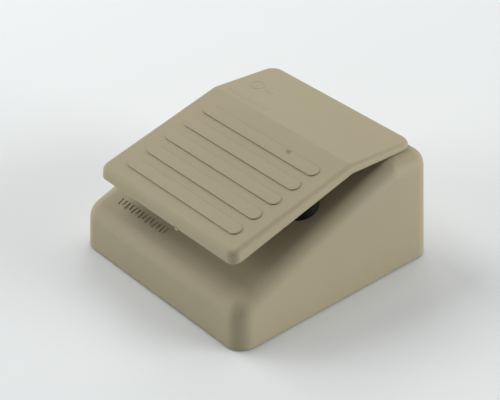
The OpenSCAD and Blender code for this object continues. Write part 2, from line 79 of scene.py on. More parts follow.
def node(material, kind, **sockets):
    """Adds a shader node and sets the sockets and settings that are named."""
    made = material.node_tree.nodes.new("ShaderNode" + kind)
    for key, value in sockets.items():
        socket = made.inputs.get(key.replace("_", " "))
        if socket is None:
            setattr(made, key, value)
        else:
            socket.default_value = value
    return made


def new_material(name):
    """An empty material with its surface shader, which is returned beside it."""
    material = bpy.data.materials.new(name)
    material.use_nodes = True
    return material, material.node_tree.nodes["Principled BSDF"]


bpy.ops.object.select_all(action="DESELECT")
bpy.ops.mesh.primitive_plane_add(size=9)
floor = bpy.context.object
floor.name = "floor_card"
card, card_surface = new_material("pale_card")
card_surface.inputs["Roughness"].default_value = 0.9
card_place = node(card, "TexCoord")
card_fibre = node(card, "TexNoise", Scale=900, Detail=3)
card_tone = node(card, "ValToRGB")
card_tone.color_ramp.elements[0].color = (*[0.985 * c for c in floor_tone], 1)
card_tone.color_ramp.elements[1].color = (*floor_tone, 1)
card.node_tree.links.new(card_place.outputs["Object"], card_fibre.inputs["Vector"])
card.node_tree.links.new(card_fibre.outputs["Fac"], card_tone.inputs["Fac"])
card.node_tree.links.new(card_tone.outputs["Color"], card_surface.inputs["Base Color"])
floor.data.materials.append(card)
floor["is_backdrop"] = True

room = bpy.data.worlds.new("pale_room")
room.use_nodes = True
room.node_tree.nodes["Background"].inputs["Color"].default_value = (0.93, 0.96, 1.0, 1)
room.node_tree.nodes["Background"].inputs["Strength"].default_value = 0.07
bpy.context.scene.world = room
bpy.context.scene.view_settings.view_transform = "Standard"

switch_middle = Vector((0, 0, 0.025))
for name, place, size, power in (
    ("left_front_box", (-1.0, -1.2, 0.42), 1.0, 14.0),
    ("left_box", (-0.95, -0.25, 1.0), 0.7, 8.6),
    ("left_rear_box", (-1.1, 0.9, 0.7), 0.9, 5.6),
    ("right_rear_box", (1.3, 0.95, 0.42), 1.1, 24.6),
    ("overhead_box", (0.0, 0.6, 1.35), 1.0, 6.2),
):
    towards = switch_middle - Vector(place)
    bpy.ops.object.light_add(type="AREA", location=place,
                             rotation=towards.to_track_quat("-Z", "Y").to_euler())
    box = bpy.context.object
    box.name = name
    box.data.size, box.data.energy = size, power
    box.data.color = (1.0, 0.985, 0.96)

# ---- Base housing ---------------------------------------------------------------------------
# A one-piece wedge-shaped shell of grey-beige ABS, injection moulded and open underneath. Its
# walls lean for release from the mould, and bosses, wells and hinge cheeks hang from its roof.
MM = 0.001
housing_wide, housing_deep, housing_high, rim = 95.4, 100.0, 47.4, 0.8
nose_high, roof_slope, wall_lean = 18.4, 20.0, 2.5
wall_thick, round_edge, round_steps = 2.4, 7.2, 10
rear_edge_share = 0.45  # of the full radius, on the edge between the slope and the flat top
broken_edge = 0.25
housing_colour, housing_grain = (0.368, 0.323, 0.215), 2400


def begin():
    """Leaves nothing selected, so that the next operator acts on the new piece only."""
    bpy.ops.object.select_all(action="DESELECT")


def choose(piece):
    """Makes the piece the only one selected, and the one that operators act on."""
    begin()
    piece.select_set(True)
    bpy.context.view_layer.objects.active = piece


def edit(piece):
    """Opens the piece in edit mode."""
    choose(piece)
    bpy.ops.object.mode_set(mode="EDIT")


def leave():
    """Goes back to object mode."""
    bpy.ops.object.mode_set(mode="OBJECT")


def pick(piece, kind, wanted):
    """Selects in edit mode the corners, edges or faces that are wanted, tested in millimetres."""
    bpy.context.tool_settings.mesh_select_mode = [kind == "VERT", kind == "EDGE", kind == "FACE"]
    bpy.ops.mesh.select_all(action="DESELECT")
    mesh = bmesh.from_edit_mesh(piece.data)
    for part in {"VERT": mesh.verts, "EDGE": mesh.edges, "FACE": mesh.faces}[kind]:
        if kind == "VERT":
            place, way = part.co / MM, part.normal
        elif kind == "EDGE":
            ends = [v.co / MM for v in part.verts]
            place, way = (ends[0] + ends[1]) / 2, (ends[1] - ends[0]).normalized()
        else:
            place, way = part.calc_center_median() / MM, part.normal
        if wanted(place, way):
            part.select_set(True)
    mesh.select_flush_mode()
    bmesh.update_edit_mesh(piece.data)


def move(x=0, y=0, z=0):
    """Moves what is selected in edit mode, in millimetres."""
    bpy.ops.transform.translate(value=(x * MM, y * MM, z * MM))


def use(piece, kind, **settings):
    """Adds a modifier to the piece and applies it."""
    choose(piece)
    added = piece.modifiers.new(kind.lower(), kind)
    for key, value in settings.items():
        setattr(added, key, value)
    bpy.ops.object.modifier_apply(modifier=added.name)


def combine(piece, others, how):
    """Joins, cuts or keeps the piece by the other solids in turn, which are used up."""
    for other in others:
        use(piece, "BOOLEAN", object=other, operation=how, solver="MANIFOLD")
        bpy.data.objects.remove(other)
    return piece


def apply_place(piece):
    """Works the piece's place, turn and scale into its mesh."""
    choose(piece)
    bpy.ops.object.transform_apply(location=True, rotation=True, scale=True)


def slab(low, high):
    """A rectangular blank between two corners, in millimetres."""
    begin()
    size = [h - l for l, h in zip(low, high)]
    middle = [(h + l) / 2 * MM for l, h in zip(low, high)]
    bpy.ops.mesh.primitive_cube_add(size=1, location=middle, scale=[s * MM for s in size])
    piece = bpy.context.object
    apply_place(piece)
    return piece


def rod(at, radius, long, turned=(0, 0, 0), sides=48):
    """A round blank whose near end's middle is at the place given, in millimetres."""
    begin()
    bpy.ops.mesh.primitive_cylinder_add(vertices=sides, radius=radius * MM, depth=long * MM,
                                        location=(0, 0, long / 2 * MM))
    piece = bpy.context.object
    apply_place(piece)
    piece.rotation_euler = [math.radians(t) for t in turned]
    piece.location = [a * MM for a in at]
    apply_place(piece)
    return piece


def ball(at, radius, sides):
    """A round blank about the place given, in millimetres."""
    begin()
    bpy.ops.mesh.primitive_uv_sphere_add(segments=sides, ring_count=sides // 2, radius=radius * MM,
                                         location=[a * MM for a in at])
    piece = bpy.context.object
    apply_place(piece)
    return piece


def set_on(piece, tilt, back, up):
    """Tips a piece that was laid out level about X, and sets it on a slope that starts at that place."""
    piece.rotation_euler = (tilt, 0, 0)
    piece.location = (0, back * MM, up * MM)
    apply_place(piece)


housing = slab((-housing_wide / 2, -housing_deep / 2, rim),
               (housing_wide / 2, housing_deep / 2, housing_high))
housing.name = "housing_shell"
edit(housing)
bpy.ops.mesh.select_all(action="SELECT")
slope = math.radians(roof_slope)
bpy.ops.mesh.bisect(plane_co=(0, -housing_deep / 2 * MM, nose_high * MM), use_fill=True, clear_outer=True,
                    plane_no=(0, -math.sin(slope), math.cos(slope)))
lean = math.tan(math.radians(wall_lean))
for low, high in ((nose_high - 2, nose_high + 2), (housing_high - 1, housing_high + 1)):
    level = (low + high) / 2
    inward = (level - rim) * lean
    pick(housing, "VERT", lambda place, way: low < place.z < high)
    bpy.ops.transform.resize(value=(1 - inward / (housing_wide / 2), 1, 1))
    pick(housing, "VERT", lambda place, way: low < place.z < high and place.y > housing_deep / 2 - 1)
    move(y=-inward)
nose_in = (nose_high - rim) * lean
pick(housing, "VERT", lambda place, way: place.z > rim + 1 and place.y < housing_deep / 2 - 5)
move(y=nose_in)
pick(housing, "EDGE", lambda place, way: abs(way.z) > 0.95)
bpy.ops.mesh.bevel(offset=round_edge * MM, segments=round_steps, affect="EDGES", clamp_overlap=False)
leave()

# The cutter leaves the same radius on every top edge, so an edge that turns less is cut back less.
shape = bmesh.new()
shape.from_mesh(housing.data)
cut_back = shape.edges.layers.float.new("bevel_weight_edge")
for e in shape.edges:
    lowest = min(v.co.z for v in e.verts) / MM
    upright = abs((e.verts[0].co - e.verts[1].co).normalized().z) >= 0.6
    if lowest > rim + 2 and not upright:
        e[cut_back] = math.tan(e.calc_face_angle() / 2)
        if lowest > housing_high - 1 and e.calc_face_angle() < 0.5:
            e[cut_back] = rear_edge_share
shape.to_mesh(housing.data)
shape.free()
use(housing, "BEVEL", limit_method="WEIGHT", width=round_edge * MM, segments=round_steps,
    use_clamp_overlap=False)
edit(housing)
bpy.ops.mesh.select_all(action="SELECT")
bpy.ops.mesh.remove_doubles(threshold=0.00002)
bpy.ops.mesh.normals_make_consistent(inside=False)
leave()

# A copy halfway into the wall trims whatever hangs from the roof, so that none of it shows outside.
choose(housing)
bpy.ops.object.duplicate()
core = bpy.context.object
edit(core)
bpy.ops.mesh.select_all(action="SELECT")
bpy.ops.transform.shrink_fatten(value=-wall_thick / 2 * MM, use_even_offset=True)
leave()

edit(housing)
pick(housing, "FACE", lambda place, way: way.z < -0.9)
bpy.ops.mesh.delete(type="FACE")
leave()
use(housing, "SOLIDIFY", thickness=wall_thick * MM, offset=-1, use_even_offset=True, use_quality_normals=True)

# Bosses, wells, hinge cheeks and the cable clamp's web are added first, and then everything is bored.
plate_top = 3.4
screw_x, screw_y, screw_bore = 39, 41, 1.3
bracket_x, bracket_y, bracket_top = (-18, 0), 16, 23.2
clamp_x, clamp_y, clamp_top = 8.5, 36.5, 13.8
spring_y, spring_floor, spring_well_r = -24, 19.5, 5.9
well_x, well_y, well_r, well_floor = 29.4, -3.2, 6.3, 29
hinge_x, hinge_y, hinge_z, pin_bore = 24, 34, 41.8, 1.55
cheek_thick, cheek_half, cheek_drop = 3, 5, 4.5
hook_x, hook_half, post_half = 16, 4.3, 4.7  # windows in the roof for the hooks and the switch post
cable_z, cable_bore, flange_bore = 11, 4.65, 6.6
beyond = 60  # clear of the roof and of every wall
bosses = [rod((x * screw_x, y * screw_y, plate_top), 4, 46) for x in (-1, 1) for y in (-1, 1)]
bosses += [rod((x, bracket_y, bracket_top), 3.5, 30) for x in bracket_x]
bosses += [rod((x * clamp_x, clamp_y, clamp_top), 3.5, 38) for x in (-1, 1)]
bosses += [slab((-clamp_x, clamp_y - 1.5, clamp_top), (clamp_x, clamp_y + 1.5, 50))]
bosses += [rod((0, spring_y, spring_floor - 1.8), spring_well_r + 1.4, 40)]
bosses += [rod((x * well_x, well_y, well_floor - 1.8), well_r + 1.4, 30) for x in (-1, 1)]
bosses += [slab((x, hinge_y - cheek_half, hinge_z - cheek_drop), (x + cheek_thick, hinge_y + cheek_half, 50))
           for x in (-30.5, -20.5, 17.5, 27.5)]
bosses += [rod((0, 49, cable_z), 7.4, 5, (90, 0, 0))]
bosses = combine(bosses[0], bosses[1:], "UNION")
combine(bosses, [core], "INTERSECT")
combine(housing, [bosses], "UNION")

cuts = [rod((x * screw_x, y * screw_y, plate_top - 1), screw_bore, 10) for x in (-1, 1) for y in (-1, 1)]
cuts += [rod((x, bracket_y, bracket_top - 1.2), screw_bore, 11) for x in bracket_x]
cuts += [rod((x * clamp_x, clamp_y, clamp_top - 0.8), 1.2, 10) for x in (-1, 1)]
cuts += [rod((0, spring_y, spring_floor), spring_well_r, 40)]
cuts += [rod((x * well_x, well_y, well_floor), well_r + 0.05, 30) for x in (-1, 1)]
cuts += [slab((x * hinge_x - 3.2, hinge_y - 5.3, 36.8), (x * hinge_x + 3.2, hinge_y + 5, beyond))
         for x in (-1, 1)]
cuts += [slab((x * hook_x - hook_half, -15.6, 24), (x * hook_x + hook_half, -9, beyond)) for x in (-1, 1)]
cuts += [slab((-post_half, -1.4, 30), (post_half, 7, beyond))]
cuts += [rod((x, hinge_y, hinge_z), pin_bore, 15, (0, 90, 0)) for x in (-31.5, 16.5)]
cuts += [rod((0, beyond, cable_z), cable_bore, 20, (90, 0, 0))]
cuts += [rod((0, beyond, cable_z), flange_bore, 12.2, (90, 0, 0))]
combine(housing, cuts, "DIFFERENCE")

# Every cut edge is left with the small break that a mould gives it.
use(housing, "BEVEL", limit_method="ANGLE", angle_limit=math.radians(50), width=broken_edge * MM,
    segments=2, use_clamp_overlap=True)


def stroke(x, along, longer, wide, turned, proud):
    """A low plain bar with sloping sides, at x and that far along a surface that is still level."""
    piece = slab((-wide / 2, -longer / 2, -0.4), (wide / 2, longer / 2, proud))
    edit(piece)
    pick(piece, "FACE", lambda place, way: way.z > 0.9)
    bpy.ops.transform.resize(value=(0.35, 0.9, 1))
    leave()
    piece.rotation_euler = (0, 0, math.radians(turned))
    piece.location = (x * MM, along * MM, 0)
    apply_place(piece)
    return piece


# A plain row of short raised strokes is moulded on the slope in front of the treadle.
row_start, row_pitch, row_back, stroke_wide, row_proud = -34.5, 2.1, 10.6, 0.7, 0.045
row = [stroke(row_start + row_pitch * i, row_back + 0.35 * (i % 2), (3.4, 2.8)[i % 2], stroke_wide,
              (6, -8, 0)[i % 3], row_proud) for i in range(14)]
for piece in row:
    set_on(piece, slope, -housing_deep / 2, nose_high)
combine(housing, row, "UNION")

# One small sink pit shows on the roof beside the right-hand buffer.
combine(housing, [ball((34.5, -12.9, 32.0), 0.5, 16)], "DIFFERENCE")


def smooth(piece, angle):
    """Rounds the shading over edges that turn less than the angle, and keeps broad flats flat."""
    choose(piece)
    bpy.ops.object.shade_smooth_by_angle(angle=math.radians(angle))
    use(piece, "WEIGHTED_NORMAL", mode="FACE_AREA", weight=50, keep_sharp=True)


smooth(housing, 35)


def moulded_plastic(name, colour, grain):
    """Satin ABS off a spark-eroded mould: a fine grain, a slow drift of tone, and dull handled spots."""
    made, surface = new_material(name)
    link = made.node_tree.links.new
    place = node(made, "TexCoord")
    drift = node(made, "TexNoise", Scale=28, Detail=4, Roughness=0.55)
    speck = node(made, "TexNoise", Scale=2600, Detail=2)
    tone = node(made, "ValToRGB")
    tone.color_ramp.elements[0].position, tone.color_ramp.elements[1].position = 0.3, 0.7
    tone.color_ramp.elements[0].color = (*[0.96 * c for c in colour], 1)
    tone.color_ramp.elements[1].color = (*[1.03 * c for c in colour], 1)
    flecks = node(made, "ValToRGB")
    flecks.color_ramp.elements[0].position, flecks.color_ramp.elements[1].position = 0.3, 0.5
    flecks.color_ramp.elements[0].color = (0.95, 0.95, 0.94, 1)
    both = node(made, "Mix", data_type="RGBA", blend_type="MULTIPLY")
    both.inputs["Factor"].default_value = 1
    rubbed = node(made, "MapRange", From_Min=0.35, From_Max=0.65, To_Min=0.56, To_Max=0.68)
    surface.inputs["Specular IOR Level"].default_value = 0.38
    hollows = node(made, "TexNoise", Scale=grain, Detail=3, Roughness=0.6)
    swell = node(made, "TexNoise", Scale=120, Detail=1)
    soft = node(made, "Bump", Strength=0.1, Distance=0.0003)
    rough = node(made, "Bump", Strength=0.18, Distance=0.00005)
    for texture in (drift, speck, hollows, swell):
        link(place.outputs["Object"], texture.inputs["Vector"])
    link(drift.outputs["Fac"], tone.inputs["Fac"])
    link(speck.outputs["Fac"], flecks.inputs["Fac"])
    link(tone.outputs["Color"], both.inputs["A"])
    link(flecks.outputs["Color"], both.inputs["B"])
    link(both.outputs["Result"], surface.inputs["Base Color"])
    link(drift.outputs["Fac"], rubbed.inputs["Value"])
    link(rubbed.outputs["Result"], surface.inputs["Roughness"])
    link(swell.outputs["Fac"], soft.inputs["Height"])
    link(hollows.outputs["Fac"], rough.inputs["Height"])
    link(soft.outputs["Normal"], rough.inputs["Normal"])
    link(rough.outputs["Normal"], surface.inputs["Normal"])
    return made


housing.data.materials.clear()
housing.data.materials.append(moulded_plastic("housing_abs", housing_colour, housing_grain))
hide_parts("base_housing")
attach(housing, "base")

# ---- Treadle --------------------------------------------------------------------------------
# A thin folded plate with shallow skirts, moulded in the same ABS. Its longer front panel carries
# five low grip bars with round ends. Lugs, hooks, a switch post and stiffening ribs hang below it.
fold_y, fold_z = 12.0, 52.0
front_fall, rear_fall = math.radians(13.3), math.radians(4)
front_long, rear_long, plate_thick = 59.4, 32.7, 2.0
front_corner_r, rear_corner_r, edge_r, fold_r = 3.8, 5.5, 1.85, 0.6
treadle_colour, treadle_grain = (0.374, 0.329, 0.219), 2600
stations = (
    # the top edge (y, z) and the half width there, the same for the skirt's lower edge, and the share of
    # the skirt that stands upright under the rounding of the top edge
    ((fold_y - front_long * math.cos(front_fall), fold_z - front_long * math.sin(front_fall)), 39.1,
     (-45.6, 33.5), 40.0, 0.42),
    ((fold_y, fold_z), 39.5, (fold_y, 48.75), 39.9, 0.6),
    ((fold_y + rear_long * math.cos(rear_fall), fold_z - rear_long * math.sin(rear_fall)), 39.7,
     (44.55, 47.42), 39.8, 0.86),
)


def panel_height(y):
    """Height of the panels' top above the floor at a distance behind the middle, in millimetres."""
    fall = math.tan(front_fall) if y < fold_y else -math.tan(rear_fall)
    return fold_z + (y - fold_y) * fall


def folded_block(inset, front_corner, rear_corner):
    """The outline of both panels and their skirts as one solid, drawn in by the inset all round."""
    block = slab((-1, -1, -1), (1, 1, 1))
    edit(block)
    for across in ((0, 1, 0), (0, 0, 1)):
        bpy.ops.mesh.select_all(action="SELECT")
        bpy.ops.mesh.bisect(plane_co=(0, 0, 0), plane_no=across)
    for row, (top, top_half, low, low_half, upright) in zip((-1, 0, 1), stations):
        for level, share in ((1, 0), (0, upright), (-1, 1)):
            pick(block, "VERT", lambda place, way: abs(place.y - row) < 0.2 and abs(place.z - level) < 0.2
                 and abs(place.x) < 1.2)
            half = top_half + (low_half - top_half) * share - inset
            bpy.ops.transform.resize(value=(half, 1, 1))
            move(y=top[0] + (low[0] - top[0]) * share - row * inset - row,
                 z=top[1] + (low[1] - top[1]) * share - inset * (1 if level > -1 else 2) - level)
    for low, high, radius in ((-60, -30, front_corner), (30, 60, rear_corner)):
        pick(block, "EDGE", lambda place, way: low < place.y < high and abs(place.x) > 30
             and abs(way.z) > 0.9)
        bpy.ops.mesh.bevel(offset=radius * MM, segments=8, affect="EDGES", clamp_overlap=False)
    leave()
    return block


treadle = folded_block(0, front_corner_r, rear_corner_r)
treadle.name = "treadle_plate"
edit(treadle)
bpy.ops.mesh.select_all(action="DESELECT")
outline = bmesh.from_edit_mesh(treadle.data)
for e in outline.edges:
    ups = [f.normal.z for f in e.link_faces]
    if max(ups) > 0.9 and min(ups) < 0.5 and all(
            abs(v.co.z / MM - panel_height(v.co.y / MM)) < 0.3 for v in e.verts):
        e.select_set(True)
bmesh.update_edit_mesh(treadle.data)
bpy.ops.mesh.bevel(offset=edge_r * MM, segments=6, affect="EDGES", clamp_overlap=False)
pick(treadle, "EDGE", lambda place, way: abs(way.x) > 0.99 and abs(place.y - fold_y) < 0.2
     and abs(place.z - fold_z) < 0.2)
bpy.ops.mesh.bevel(offset=fold_r * MM, segments=3, affect="EDGES", clamp_overlap=False)
leave()
hollow = folded_block(plate_thick, front_corner_r - plate_thick, rear_corner_r - plate_thick)
combine(treadle, [hollow], "DIFFERENCE")


def grip_bar(along, longer, wide, low, high, soften, aside=0):
    """A bar with round ends on the front panel, that far from its front edge and between two heights."""
    piece = rod((0, 0, low), wide / 2, high - low)
    edit(piece)
    for side in (-1, 1):
        pick(piece, "VERT", lambda place, way: place.x * side > 0.05)
        move(x=side * (longer - wide) / 2)
    if soften:
        pick(piece, "EDGE", lambda place, way: abs(place.z - high) < 0.01 and abs(way.z) < 0.1)
        bpy.ops.mesh.bevel(offset=soften * MM, segments=3, affect="EDGES")
    leave()
    piece.location = (aside * MM, (along - front_long) * MM, 0)
    apply_place(piece)
    set_on(piece, front_fall, fold_y, fold_z)
    return piece


# Each bar stands in a shallow moat, which lies a hair to the front right of it.
bar_first, bar_pitch, bar_long, bar_wide, bar_proud, bar_aside = 9.6, 9.65, 64, 5.2, 0.5, 0.4
moat_deep, moat_aside = 0.14, 0.1
bar_places = [bar_first + bar_pitch * i for i in range(5)]
moats = [grip_bar(along - moat_deep, bar_long, bar_wide, -moat_deep, 1, 0, bar_aside + moat_aside)
         for along in bar_places]
combine(treadle, moats, "DIFFERENCE")
bars = [grip_bar(along, bar_long, bar_wide, -0.5, bar_proud, 0.2, bar_aside) for along in bar_places]
combine(treadle, bars, "UNION")

# Lugs with round ends, hooks, the switch post, the spring's seat and spigot, and four ribs hang below.
lug_half, lug_r, post_y, post_r, post_low = 2.5, 4.2, 2, 2.2, 35.2
hook_arm, seat_r, seat_low, spigot_r, spigot_low = 3.5, 6.4, 39.5, 3.4, 36.5
sunk = 1.4  # below the panel's top, so that the joint is inside the plate
under = [slab((x * hinge_x - lug_half, hinge_y - lug_r, hinge_z),
              (x * hinge_x + lug_half, hinge_y + lug_r, panel_height(hinge_y) - 1.2)) for x in (-1, 1)]
under += [rod((x * hinge_x - lug_half, hinge_y, hinge_z), lug_r, 2 * lug_half, (0, 90, 0)) for x in (-1, 1)]
under += [slab((x * hook_x - hook_arm, -13.1, 25.1),
               (x * hook_x + hook_arm, -10.9, panel_height(-13.1) - sunk)) for x in (-1, 1)]
under += [slab((x * hook_x - hook_arm, -14.9, 26.3), (x * hook_x + hook_arm, -12.9, 28.1)) for x in (-1, 1)]
under += [slab((-3.5, post_y - 1.2, 37), (3.5, post_y + 1.2, panel_height(post_y - 1.2) - sunk))]
under += [rod((0, post_y, post_low), post_r, panel_height(post_y - post_r) - post_low - sunk)]
under += [ball((0, post_y, post_low), post_r, 32)]
under += [rod((0, spring_y, seat_low), seat_r, panel_height(spring_y - seat_r) - seat_low - sunk)]
under += [rod((0, spring_y, spigot_low), spigot_r, 4)]
edit(under[-1])
pick(under[-1], "VERT", lambda place, way: place.z < spigot_low + 0.5)
bpy.ops.transform.resize(value=(0.83, 0.83, 1))
leave()
for x in (-20.6, -8, 8, 20.6):
    rib = slab((x - 0.75, 8 - front_long, -3.6), (x + 0.75, -6, -1.7))
    set_on(rib, front_fall, fold_y, fold_z)
    under += [rib]
combine(treadle, under, "UNION")
combine(treadle, [rod((x, hinge_y, hinge_z), pin_bore, 9, (0, 90, 0)) for x in (-28.5, 19.5)], "DIFFERENCE")

# An ejector leaves a small round pit near the rear edge of the last grip bar.
pit_x, pit_back, pit_up, pit_r = 15.5, 50.2 - front_long, 1.9, 2.3
pit = ball((pit_x, fold_y + pit_back * math.cos(front_fall) - pit_up * math.sin(front_fall),
            fold_z + pit_back * math.sin(front_fall) + pit_up * math.cos(front_fall)), pit_r, 48)
combine(treadle, [pit], "DIFFERENCE")

# Behind the fold stand a plain ring and plain rows of strokes, moulded just proud of the panel.
ring_r, ring_wire_r, ring_x, ring_back = 3.0, 0.3, -29.6, 14.4
mark_proud = 0.09
begin()
bpy.ops.mesh.primitive_torus_add(major_segments=64, minor_segments=8, major_radius=ring_r * MM,
                                 minor_radius=ring_wire_r * MM,
                                 location=(ring_x * MM, ring_back * MM, -0.14 * MM))
marks = [bpy.context.object]
marks += [stroke(-33.2 + 1.9 * i, 2.9, 2.6 + 0.5 * (i % 2), 0.6, (0, 12, -10)[i % 3], mark_proud)
          for i in range(12)]
marks += [stroke(-22.4 + 0.2 * i, 13.2 + 1.3 * i, 4.2, 0.55, 90, mark_proud) for i in range(2)]
for mark in marks:
    apply_place(mark)
    set_on(mark, -rear_fall, fold_y, fold_z)
combine(treadle, marks, "UNION")

# The mould's film gate is broken off the lower front edge and leaves a short stub.
combine(treadle, [slab((6.9, -45.85, 32.8), (8.3, -44.6, 34.0))], "UNION")

smooth(treadle, 32)
treadle.data.materials.clear()
treadle.data.materials.append(moulded_plastic("treadle_abs", treadle_colour, treadle_grain))
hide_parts("treadle")
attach(treadle, "treadle")

# ---- Rubber buffers -------------------------------------------------------------------------
# Two black rubber stops stand in round wells in the housing's roof and catch the treadle. Each is
# moulded in one piece, with a rounded crown, a parting line round it and a small vent dimple on top.


def turned(name, profile, sides=64, bored=False):
    """A ring drawn out along (radius, height) in millimetres. Its ends are closed, or joined by a bore."""
    begin()
    bpy.ops.mesh.primitive_circle_add(vertices=sides, radius=profile[0][0] * MM,
                                      fill_type="NOTHING" if bored else "NGON")
    piece = bpy.context.object
    piece.name = name
    edit(piece)
    bpy.context.tool_settings.mesh_select_mode = [False, bored, not bored]
    bpy.ops.mesh.select_all(action="SELECT")
    move(z=profile[0][1])
    for (was_r, was_z), (r, z) in zip(profile, profile[1:]):
        bpy.ops.mesh.extrude_region_move(TRANSFORM_OT_translate={"value": (0, 0, (z - was_z) * MM)})
        bpy.ops.transform.resize(value=(r / was_r, r / was_r, 1))
    if bored:
        bpy.ops.mesh.select_all(action="DESELECT")
        bpy.ops.mesh.select_non_manifold()
        bpy.ops.mesh.bridge_edge_loops()
    bpy.ops.mesh.select_all(action="SELECT")
    bpy.ops.mesh.normals_make_consistent(inside=False)
    leave()
    return piece


def placed(piece, places, names):
    """Sets the piece at the first place, in millimetres, and a copy with its own mesh at each other one."""
    made = [piece]
    for _ in places[1:]:
        choose(piece)
        bpy.ops.object.duplicate(linked=False)
        made.append(bpy.context.object)
    for copy, at, name in zip(made, places, names):
        copy.location = [a * MM for a in at]
        apply_place(copy)
        copy.name = name
    return made


def black_rubber(name, dust):
    """Carbon-filled rubber: nearly black, dull, with a dusty bloom that shows in patches."""
    made, surface = new_material(name)
    link = made.node_tree.links.new
    place = node(made, "TexCoord")
    bloom = node(made, "TexNoise", Scale=160, Detail=5, Roughness=0.65)
    tone = node(made, "ValToRGB")
    tone.color_ramp.elements[0].position, tone.color_ramp.elements[1].position = 0.42, 0.78
    tone.color_ramp.elements[0].color = (0.0045, 0.0042, 0.003, 1)
    tone.color_ramp.elements[1].color = (dust, dust * 0.98, dust * 0.9, 1)
    dull = node(made, "MapRange", From_Min=0.35, From_Max=0.7, To_Min=0.6, To_Max=0.85)
    skin = node(made, "TexNoise", Scale=2200, Detail=2)
    bump = node(made, "Bump", Strength=0.2, Distance=0.00005)
    surface.inputs["Specular IOR Level"].default_value = 0.1
    for texture in (bloom, skin):
        link(place.outputs["Object"], texture.inputs["Vector"])
    link(bloom.outputs["Fac"], tone.inputs["Fac"])
    link(bloom.outputs["Fac"], dull.inputs["Value"])
    link(tone.outputs["Color"], surface.inputs["Base Color"])
    link(dull.outputs["Result"], surface.inputs["Roughness"])
    link(skin.outputs["Fac"], bump.inputs["Height"])
    link(bump.outputs["Normal"], surface.inputs["Normal"])
    return made


stop_edge, crown_r, crown_low = 3.8, 2.5, 38.3
crown = [(stop_edge + crown_r * math.cos(math.radians(a)), crown_low + crown_r * math.sin(math.radians(a)))
         for a in range(0, 91, 10)]
foot_ring = [(2, well_floor), (5.9, well_floor), (well_r, well_floor + 0.4)]
parting_line = [(well_r, 36.85), (well_r - 0.16, 37), (well_r, 37.15)]
vent = [(1.7, 40.8), (1.35, 40.6), (0.7, 40.35)]
stop = turned("buffer_stop_left", foot_ring + parting_line + crown + vent)
stop.data.materials.append(black_rubber("buffer_rubber", 0.02))
smooth(stop, 40)
stops = placed(stop, [(x * well_x, well_y, 0) for x in (-1, 1)], ("buffer_stop_left", "buffer_stop_right"))
for stop, cad_name in zip(stops, ("buffer_left", "buffer_right")):
    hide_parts(cad_name)
    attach(stop, "base")

# ---- Rubber feet ----------------------------------------------------------------------------
# Four moulded pads carry the switch clear of the floor. Each is pulled by its neck through a hole in
# the bottom plate, where a mushroom head holds it, and has a shallow suction hollow underneath.
plate_low = 2.2
foot_x, foot_y = 26, 39.5
pad = turned("foot_pad_front_left", [
    (1.2, 0.75), (2.6, 0.7), (3.9, 0.45), (4.5, 0), (6.2, 0), (6.55, 0.08), (7, 0.6), (7, plate_low - 0.35),
    (6.7, plate_low - 0.05), (2.5, plate_low - 0.05), (2.5, plate_top + 0.05), (3.1, plate_top + 0.05),
    (3.3, plate_top + 0.25), (2.75, plate_top + 1.1), (2.2, plate_top + 1.55), (1.1, plate_top + 1.6)])
smooth(pad, 38)
pad.data.materials.append(black_rubber("foot_rubber", 0.035))
corners = {"front_left": (-1, -1), "front_right": (1, -1), "rear_left": (-1, 1), "rear_right": (1, 1)}
pads = placed(pad, [(x * foot_x, y * foot_y, 0) for x, y in corners.values()],
              ["foot_pad_" + corner for corner in corners])
for pad, corner in zip(pads, corners):
    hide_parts("foot_" + corner)
    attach(pad, "base")

# ---- Cable bush -----------------------------------------------------------------------------
# A moulded rubber grommet lines the hole through the rear wall. Its barbed inner lip is squeezed
# through and springs out behind the wall, and its outer flange has a shallow ring round the bore.
bush = turned("cable_grommet", [
    (2.8, 42.4), (4.4, 42.4), (4.6, 42.55), (5.8, 43.5), (5.8, 43.95), (4.6, 43.95), (4.6, 47.85),
    (6.5, 47.85), (6.5, 48.75), (6.38, 49.05), (6.1, 49.2), (5.2, 49.2), (5.0, 48.95), (4.4, 48.95),
    (4.2, 49.2), (3.3, 49.2), (2.95, 49.1), (2.8, 48.85)], bored=True)
bush.rotation_euler = (math.radians(-90), 0, 0)
bush.location = (0, 0, cable_z * MM)
apply_place(bush)
smooth(bush, 38)
bush.data.materials.append(black_rubber("bush_rubber", 0.028))
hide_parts("cable_bush")
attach(bush, "base")

# ---- Return spring --------------------------------------------------------------------------
# A coil of hard-drawn round wire lifts the treadle. It is wound with seven and a half turns, of which
# the first and last lie almost flat, and stands in a well below the treadle's spigot.
wire_r, coil_r, coil_turns, ring_steps = 0.5, 4.6, 7.5, 24
coil_low, coil_high = 20.07, 38.93


def coil_height(share):
    """Height of the wire's middle at a share of its length: the end turns rise at a quarter of the rate."""
    flat, slow = 1 / coil_turns, 0.25
    if share < flat:
        rise = share * slow
    elif share > 1 - flat:
        rise = 1 - (1 - share) * slow
    else:
        rise = flat * slow + (share - flat) * (1 - 2 * flat * slow) / (1 - 2 * flat)
    return coil_low + (coil_high - coil_low) * rise


